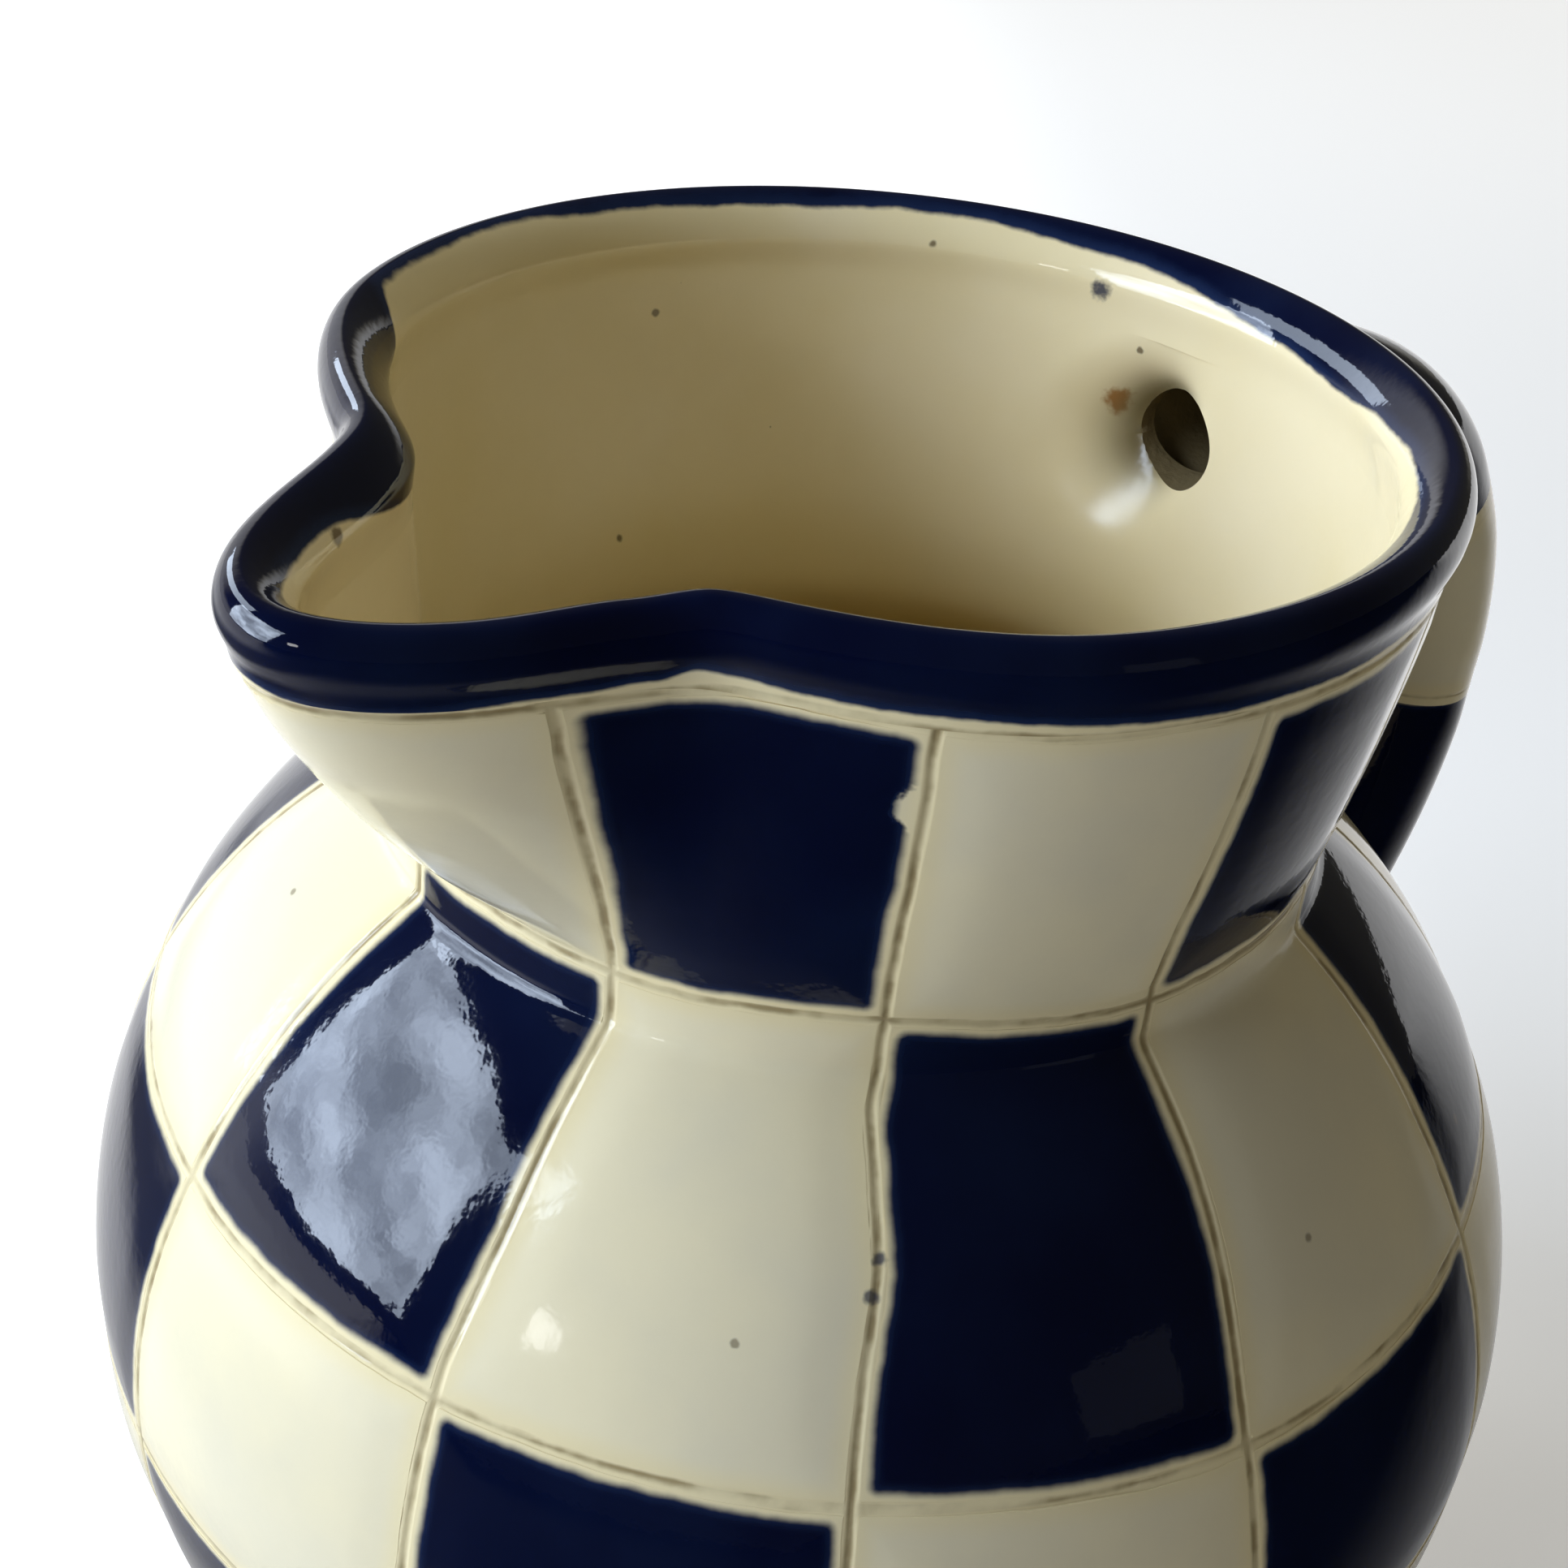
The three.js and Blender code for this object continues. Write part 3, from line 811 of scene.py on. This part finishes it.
def rim_section():
    skirts = [[(o * MM, NECK_TOP + z * MM) for o, z in skirt] for skirt in (OUTER_SKIRT, INNER_SKIRT)]
    outer = quarter(OUTER_REACH, OUTER_DROP, OUTER_FULLNESS)
    inner = quarter(-INNER_REACH, INNER_DROP, INNER_FULLNESS)
    return skirts[0] + outer + inner[-2::-1] + skirts[1]


def rim_roll():
    bm = turned([(MOUTH_RADIUS + offset, z) for offset, z in rim_section()], RIM_STEPS)
    dip = bm.verts.layers.float.new("dip")
    line = bm.verts.layers.float.new("line")
    for vert in bm.verts:
        theta, z = crowd(math.atan2(vert.co.y, vert.co.x)), vert.co.z
        offset = math.hypot(vert.co.x, vert.co.y) - MOUTH_RADIUS
        turn = math.degrees(theta) % 360
        above_outer = z - NECK_TOP - bend(OUTER_EDGE, turn)
        above_inner = z - RIM_TOP + bend(INNER_EDGE, turn)
        vert[dip] = (above_outer if offset > CREST else above_inner) / MM
        vert[line] = abs(z - level_line(RIM_LINE, theta)) / MM if offset > CREST else FAR_FROM_LINES
        if z < NECK_TOP:
            vert.co = neck_point(theta, z, offset - NECK_LINE)
        else:
            sink = bend(SPOUT_SINK, turn) * (z - NECK_TOP) / (RIM_TOP - NECK_TOP)
            vert.co = mouth_point(theta, offset).to_3d() + Vector((0, 0, z - sink))
    return finished(bm, "rim_roll", [rim_glaze], "cobalt_glaze", "rim")


rim_roll()

# %% [markdown]
# ## Glaze fields
# Each field of the checkerboard is a thin pool of glaze, highest in the middle and thinning towards its
# lines. A flat grid is laid on the wall between four lines, and a second layer under it closes the pool,
# because a printed or exported piece needs an inside and an outside.

# %% One glaze field
FIELD_STEPS = 38
POOL_RISE = 0.2 * MM
POOL_UNDER = 0.1 * MM
POOL_EDGE_SINK = 0.01 * MM
POOL_SHOULDER = 6 * MM
CORNER = 2.2 * MM
COLLAR_ROW = 2
SHOULDER_SHARE = 0.66


def pool_distance(upright, level):
    if upright < CORNER and level < CORNER:
        return CORNER - math.hypot(CORNER - upright, CORNER - level)
    return min(upright, level)


def pool_height(distance):
    swell = POOL_RISE * smoothstep(distance, LINE_MARGIN, LINE_MARGIN + POOL_SHOULDER)
    return COAT - POOL_EDGE_SINK + swell


def rising_share(row, share):
    if row != COLLAR_ROW:
        return gather(share)
    corner = (COLLAR_FOOT - LINE_HEIGHTS[row]) / ROW_HEIGHT
    if share < SHOULDER_SHARE:
        return corner * gather(share / SHOULDER_SHARE)
    return corner + (1 - corner) * gather((share - SHOULDER_SHARE) / (1 - SHOULDER_SHARE))


@lru_cache(maxsize=None)
def field_spot(column, row, s, t):
    z = LINE_HEIGHTS[row] + (LINE_HEIGHTS[row + 1] - LINE_HEIGHTS[row]) * t
    radius = wall_point(math.pi + column * COLUMN, z, 0).xy.length
    (left, left_shift), (right, right_shift) = upright_line(column - 1, z), upright_line(column, z)
    start = left + (left_shift + LINE_MARGIN) / radius
    end = right + (right_shift - LINE_MARGIN) / radius
    theta = start + (end - start) * s
    low = level_line(row, theta) + LINE_MARGIN / wall_lean(LINE_HEIGHTS[row])
    high = level_line(row + 1, theta) - LINE_MARGIN / wall_lean(LINE_HEIGHTS[row + 1])
    z = low + (high - low) * t
    upright = LINE_MARGIN + min(s, 1 - s) * (end - start) * radius
    level = LINE_MARGIN + min(t, 1 - t) * (high - low) * wall_lean(z)
    return theta, z, upright, level


def glaze_field(node, column, row, material, slot):
    bm = bmesh.new()
    bmesh.ops.create_grid(bm, x_segments=FIELD_STEPS, y_segments=FIELD_STEPS, size=0.5)
    line = bm.verts.layers.float.new("line")
    pool = bm.verts.layers.float.new("pool")
    raised = bmesh.ops.extrude_face_region(bm, geom=bm.faces[:])["geom"]
    top = {item for item in raised if isinstance(item, bmesh.types.BMVert)}
    for vert in bm.verts:
        s, t = gather(vert.co.x + 0.5), rising_share(row, vert.co.y + 0.5)
        theta, z, upright, level = field_spot(column, row, s, t)
        distance = pool_distance(upright, level)
        vert[line], vert[pool] = min(upright, level) / MM, distance / MM
        vert.co = wall_point(theta, z, pool_height(distance) if vert in top else POOL_UNDER)
    bmesh.ops.recalc_face_normals(bm, faces=bm.faces)
    return finished(bm, node + "_glaze", [material], slot, node)


print(f"a pool rises {POOL_RISE / MM:.1f} mm over its edge")

# %% Checkerboard
ROW_NAMES = ["low_belly", "mid_belly", "upper_belly", "neck"]
BORE_FIELD = "neck_cream_07"
fields = {}
for row, row_name in enumerate(ROW_NAMES):
    for column in range(COLUMNS):
        colour, material = ("cream", cream_glaze) if (row + column) % 2 else ("cobalt", cobalt_glaze)
        node = f"{row_name}_{colour}_{column + 1:02d}"
        fields[node] = glaze_field(node, column, row, material, colour + "_glaze")
# the field's cut bore wall gets the clay painted dark as shade
fields[BORE_FIELD].data.materials.append(bore_shade_clay)
cut_away(fields[BORE_FIELD], bore_cutter(INSIDE))
print("fields:", len(fields))

# %% [markdown]
# ## Foot and foot band
# The jug stands on a plain disc of bare clay, and a last cobalt band closes the pattern above it.
# Both are simple turned pieces.

# %% Foot and band
FOOT_RADIUS = 55.5 * MM
FOOT_BEVEL = 1.2 * MM
FOOT_SEAT = 8 * MM
FLOOR_MARGIN = 0.1 * MM
FOOT_STEPS, BAND_STEPS, BAND_LEVELS = 192, 288, 24


def foot_disc():
    outline = [
        (0, 0), (FOOT_RADIUS - FOOT_BEVEL, 0), (FOOT_RADIUS, FOOT_BEVEL),
        (belly_radius(FOOT_Z, 0), FOOT_Z), (FOOT_RADIUS - FOOT_SEAT, FOOT_Z), (0, FOOT_Z),
    ]
    bm = turned(outline, FOOT_STEPS)
    split_inside(bm, lambda radius, z: z > FOOT_Z - FLOOR_MARGIN)
    return finished(bm, "foot_disc", [bare_clay, inner_glaze], "clay", "foot")


def foot_band():
    low, high = FOOT_Z + LINE_MARGIN, FOOT_BAND_TOP - LINE_MARGIN
    levels = gathered_levels([low, high], BAND_LEVELS)
    top = [(belly_radius(z, pool_height(min(z - FOOT_Z, FOOT_BAND_TOP - z))), z) for z in levels]
    under = [(belly_radius(z, POOL_UNDER), z) for z in reversed(levels)]
    bm = turned(top + under, BAND_STEPS)
    line = bm.verts.layers.float.new("line")
    pool = bm.verts.layers.float.new("pool")
    for vert in bm.verts:
        z = vert.co.z
        vert[line] = vert[pool] = min(z - FOOT_Z, FOOT_BAND_TOP - z) * wall_lean(z) / MM
    return finished(bm, "foot_band_glaze", [cobalt_glaze], "cobalt_glaze", "foot_band")


foot_disc()
foot_band()

# %% [markdown]
# ## Handle
# The handle is a hollow oval tube on one curve. A ring of vertices is extruded along the curve, out on the
# outside and back through the bore, and the two ends are bridged. The section swells where it meets the
# wall, as a handle does that was luted on with slip. The tube starts too long, and the jug's own
# core cuts it back to the wall. Three bands of glaze cover it in the same way.

# %% Sweeping along the handle
HANDLE_HALF_WIDTH = 11.35 * MM
HANDLE_HALF_THICKNESS = 9.85 * MM
HANDLE_SIDES = 48
ROOT_SWELL, ROOT_FADE = 2.0 * MM, 0.03
TOP_ROOT, FOOT_ROOT = 0.05, 0.88
CORE_FOOT, CORE_LEVELS, CORE_STEPS = 10 * MM, 60, 180
AXIS_MARGIN = 1 * MM


def root_swell(share):
    beyond = max(0, min(share - TOP_ROOT, FOOT_ROOT - share))
    return ROOT_SWELL * math.exp(-beyond / ROOT_FADE)


def swept(stations):
    bm = bmesh.new()
    share_layer = bm.verts.layers.float.new("share")
    ring = bmesh.ops.create_circle(bm, segments=HANDLE_SIDES, radius=1)["verts"]
    unit = [vert.co.copy() for vert in ring]
    edges = list({edge for vert in ring for edge in vert.link_edges})
    for number, (share, offset) in enumerate(stations):
        if number:
            grown = bmesh.ops.extrude_edge_only(bm, edges=edges)["geom"]
            edges = [item for item in grown if isinstance(item, bmesh.types.BMEdge)]
            ring = [item for item in grown if isinstance(item, bmesh.types.BMVert)]
        place = handle_frame(share)
        across, through = HANDLE_HALF_WIDTH + offset, HANDLE_HALF_THICKNESS + offset
        for vert, spot in zip(ring, unit):
            vert.co = place @ Vector((spot.x * across, spot.y * through, 0))
            vert[share_layer] = share
    edges = [edge for edge in bm.edges if edge.is_boundary]
    bmesh.ops.bridge_loops(bm, edges=edges)
    bmesh.ops.recalc_face_normals(bm, faces=bm.faces)
    return bm, share_layer


def jug_core(offset):
    levels = even_levels(FOOT_Z + CORE_FOOT, RIM_TOP, CORE_LEVELS)
    outline = [(0, levels[0])] + [(COLLAR_RADIUS, z) for z in levels] + [(0, levels[-1])]
    bm = turned(outline, CORE_STEPS)
    for vert in bm.verts:
        if vert.co.xy.length > AXIS_MARGIN:
            vert.co = wall_point(math.atan2(vert.co.y, vert.co.x), vert.co.z, offset)
    return cutter(bm, INSIDE)


print(f"handle {2 * HANDLE_HALF_WIDTH / MM:.1f} by {2 * HANDLE_HALF_THICKNESS / MM:.1f} mm across")

# %% Handle tube and bands
CREAM_BAND = (0.36, 0.553)
HANDLE_WALL = 4.5 * MM
HANDLE_GAP, BAND_SINK = 0.3 * MM, 0.1 * MM
HANDLE_STEPS, HANDLE_BAND_STEPS = 110, 40
BORE_FLARE, BORE_FADE = 3 * MM, 0.03
HANDLE_MIDDLE = (0.45, 0.5)


def handle_run(start, end):
    return (handle_frame(end).translation - handle_frame(start).translation).length


def bore_flare(share):
    return BORE_FLARE * math.exp(-max(0, share - BORE_STATION) / BORE_FADE)


def handle_tube():
    shares = even_levels(0, 1, HANDLE_STEPS)
    outside = [(share, COAT + root_swell(share)) for share in shares]
    bore = [(share, bore_flare(share) - HANDLE_WALL) for share in reversed(shares)]
    bm, share_layer = swept(outside + bore)
    line = bm.verts.layers.float.new("line")
    bm.verts.ensure_lookup_table()
    bore_verts = set(bm.verts[len(outside) * HANDLE_SIDES:])
    for face in bm.faces:
        face.material_index = INSIDE if bore_verts.issuperset(face.verts) else OUTSIDE
    for vert in bm.verts:
        vert[line] = min(handle_run(vert[share_layer], share) for share in CREAM_BAND) / MM
    # the bore through the handle gets the clay painted dark as shade
    piece = finished(bm, "handle_tube", [cream_glaze, bore_shade_clay], "cream_glaze", "handle")
    cut_away(piece, jug_core(-HANDLE_GAP))


def handle_band(node, start, end, material, slot):
    margin = LINE_MARGIN * (HANDLE_MIDDLE[1] - HANDLE_MIDDLE[0]) / handle_run(*HANDLE_MIDDLE)
    shares = gathered_levels([start + margin, end - margin], HANDLE_BAND_STEPS)
    borders = [min(handle_run(start, share), handle_run(share, end)) for share in shares]
    top = [(share, pool_height(border) + root_swell(share)) for share, border in zip(shares, borders)]
    bm, share_layer = swept(top + [(share, POOL_UNDER + root_swell(share)) for share in reversed(shares)])
    line = bm.verts.layers.float.new("line")
    pool = bm.verts.layers.float.new("pool")
    for vert in bm.verts:
        share = vert[share_layer]
        vert[line] = vert[pool] = min(handle_run(start, share), handle_run(share, end)) / MM
    piece = finished(bm, node + "_glaze", [material], slot, node)
    cut_away(piece, jug_core(COAT - BAND_SINK))


handle_tube()
handle_band("handle_band_top", 0, CREAM_BAND[0], cobalt_glaze, "cobalt_glaze")
handle_band("handle_band_middle", *CREAM_BAND, cream_glaze, "cream_glaze")
handle_band("handle_band_bottom", CREAM_BAND[1], 1, cobalt_glaze, "cobalt_glaze")

# %% [markdown]
# ## Floor and light
# A pale floor and one large window on the left give the soft reflections that glaze needs. Behind the jug
# the floor and the wall are white, and on the camera's side the room is dark: a mirror-like glaze shows
# that difference, so both change with the direction when a glossy ray looks at them. The window's light
# is cool and the room's is warm, as by daylight.

# %% Floor
BEHIND = Vector((0.785, 0.62, 0))
BRIGHT_SIDE = Vector((0.342, 0.94, 0))
SHADY_SIDE = Vector((0.680, -0.728, 0))
WINDOW_SIDE = Vector((-0.866, 0.5, 0))
BLACK, WHITE = (0, 0, 0, 1), (1, 1, 1, 1)
FLOOR_PALE = (0.90, 0.88, 0.86, 1)
FLOOR_REACH = 6
FLOOR_GLOW, FLOOR_SHADE, FAR_GLOW = 0.62, 0.37, 0.6


def pale_floor():
    bm = bmesh.new()
    bmesh.ops.create_grid(bm, x_segments=1, y_segments=1, size=FLOOR_REACH)
    mesh = bpy.data.meshes.new("floor")
    bm.to_mesh(mesh)
    bm.free()
    material, sums, shader = new_material("pale_floor")
    seen = sums.node("ShaderNodeLightPath", {}, {}, output="Is Camera Ray")
    mirrored = sums.node("ShaderNodeLightPath", {}, {}, output="Is Glossy Ray")
    distance = sums.node("ShaderNodeVectorMath", {"operation": "LENGTH"}, {0: sums.place()}, output=1)
    under_window = sums.towards(WINDOW_SIDE, 0.14, 0.2) * (1 - distance.ramp(0.3, 0.6))
    bright = sums.towards(BRIGHT_SIDE, -0.15, 0.16) * (1 - 0.9 * under_window)
    shady = sums.towards(SHADY_SIDE, 0.0, 0.14) * (1 - 0.66 * sums.towards(BEHIND, 0.2, 0.9))
    pale = FLOOR_GLOW - FLOOR_SHADE * shady + FAR_GLOW * distance.ramp(0.8, 2.2)
    glow = seen * pale + mirrored * bright
    feed(sums, shader, base_color=mirrored.mix(FLOOR_PALE, BLACK))
    feed(sums, shader, emission_color=glow.mix(BLACK, WHITE))
    feed(sums, shader, roughness=0.9, emission_strength=1.0)
    mesh.materials.append(material)
    floor = bpy.data.objects.new("floor", mesh)
    bpy.context.scene.collection.objects.link(floor)


pale_floor()
print("floor:", 2 * FLOOR_REACH, "m wide")

# %% Lamps
SKY, COOL, NEUTRAL = (0.70, 0.82, 1.0), (0.93, 0.96, 1.0), (1.0, 1.0, 1.0)
LIT_POINT = Vector((0, 0, 0.1))
CLOUD_SCALE = 2.6


def lamp(name, azimuth, elevation, distance, size, power, colour, tilt=0):
    light = bpy.data.lights.new(name, "AREA")
    light.shape = "RECTANGLE"
    light.size, light.size_y = size
    light.energy, light.color = power, colour
    a, e = math.radians(azimuth), math.radians(elevation)
    away = Vector((math.cos(a) * math.cos(e), math.sin(a) * math.cos(e), math.sin(e)))
    turn = away.to_track_quat("Z", "Y") @ Quaternion(UPWARDS, math.radians(tilt))
    place = bpy.data.objects.new(name, light)
    place.location = LIT_POINT + away * distance
    place.rotation_euler = turn.to_euler()
    bpy.context.scene.collection.objects.link(place)
    return place


def cloudy(light):
    light.use_nodes = True
    sums = Shade(light.node_tree)
    pane = sums.node("ShaderNodeNewGeometry", {}, {}, output="Parametric")
    clouds = sums.node("ShaderNodeTexNoise", {}, {"Vector": pane, "Scale": CLOUD_SCALE, "Detail": 4.0})
    strength = 0.5 + 1.1 * clouds.ramp(0.32, 0.68)
    light.node_tree.links.new(strength.socket, light.node_tree.nodes["Emission"].inputs["Strength"])


window = lamp("window", azimuth=143, elevation=22, distance=1.0, size=(0.85, 0.65), power=15.2, colour=SKY)
cloudy(window.data)
lamp("side_window", azimuth=97, elevation=32, distance=1.0, size=(0.8, 0.22), power=3.2, colour=SKY, tilt=36)
lamp("far_window", azimuth=182, elevation=17, distance=1.2, size=(0.14, 0.11), power=0.35, colour=NEUTRAL)
roof = lamp("roof_light", azimuth=57, elevation=55, distance=1.2, size=(0.6, 0.25), power=2.0, colour=COOL)
roof.visible_glossy = False
lamp("room_window", azimuth=-90, elevation=10, distance=1.2, size=(0.34, 0.3), power=0.025, colour=COOL)

# %% World
ROOM_WARM = (1.0, 0.94, 0.74, 1)
ROOM_GLOW, ROOM_GLOW_BEHIND, BACKDROP_GLOW = 0.12, 0.24, 0.65
LEFT_WALL = Vector((0, 1, 0))

world = bpy.data.worlds.new("studio")
bpy.context.scene.world = world
world.use_nodes = True
sums = Shade(world.node_tree)
seen = sums.node("ShaderNodeLightPath", {}, {}, output="Is Camera Ray")
mirrored = sums.node("ShaderNodeLightPath", {}, {}, output="Is Glossy Ray")
looking = sums.node("ShaderNodeTexCoord", {}, {}, output=0)
dim_room = ROOM_GLOW + ROOM_GLOW_BEHIND * sums.towards(BEHIND, 0.0, 0.8, looking)
dim_room = dim_room * (1 - 0.8 * mirrored)
low = 1 - sums.towards(UPWARDS, 0.07, 0.19, looking)
low = low * sums.towards(BRIGHT_SIDE, 0.35, 0.7, looking)
wall = sums.towards(LEFT_WALL, 0.66, 0.8, looking) * sums.towards(BEHIND, 0.4, 0.75, looking)
wall = wall * (1 - sums.towards(UPWARDS, 0.38, 0.6, looking))
backdrop = mirrored * (low + (1 - low) * wall)
strength = seen + (1 - seen) * (dim_room + BACKDROP_GLOW * backdrop)
tint = (seen + backdrop).mix(ROOM_WARM, WHITE)
background = world.node_tree.nodes["Background"]
world.node_tree.links.new(strength.socket, background.inputs["Strength"])
world.node_tree.links.new(tint.socket, background.inputs["Color"])
print("world:", world.name)

# %% [markdown]
# ## Camera
# The photo is taken from above, on the -Y side of the spout, with the camera tilted a little. The camera's
# axes and place were worked out from the outlines of the mouth, the waist and the belly.

# %% Camera
CAMERA_PLACE = Vector((-167.67, -132.42, 249.32)) * MM
CAMERA_RIGHT = Vector((0.680373, -0.728190, 0.082697))
CAMERA_UP = Vector((0.341862, 0.415158, 0.843075))
FOCAL_LENGTH, SENSOR_WIDTH = 53.106, 36

lens = bpy.data.cameras.new("camera")
lens.lens, lens.sensor_width = FOCAL_LENGTH, SENSOR_WIDTH
lens.clip_start, lens.clip_end = 0.01, 50
camera = bpy.data.objects.new("camera", lens)
axes = Matrix((CAMERA_RIGHT, CAMERA_UP, CAMERA_RIGHT.cross(CAMERA_UP))).transposed().to_4x4()
camera.matrix_world = Matrix.Translation(CAMERA_PLACE) @ axes
bpy.context.scene.collection.objects.link(camera)
bpy.context.scene.camera = camera
bpy.context.scene.view_settings.view_transform = "Standard"
print("camera at", [round(x, 3) for x in camera.location], "m")
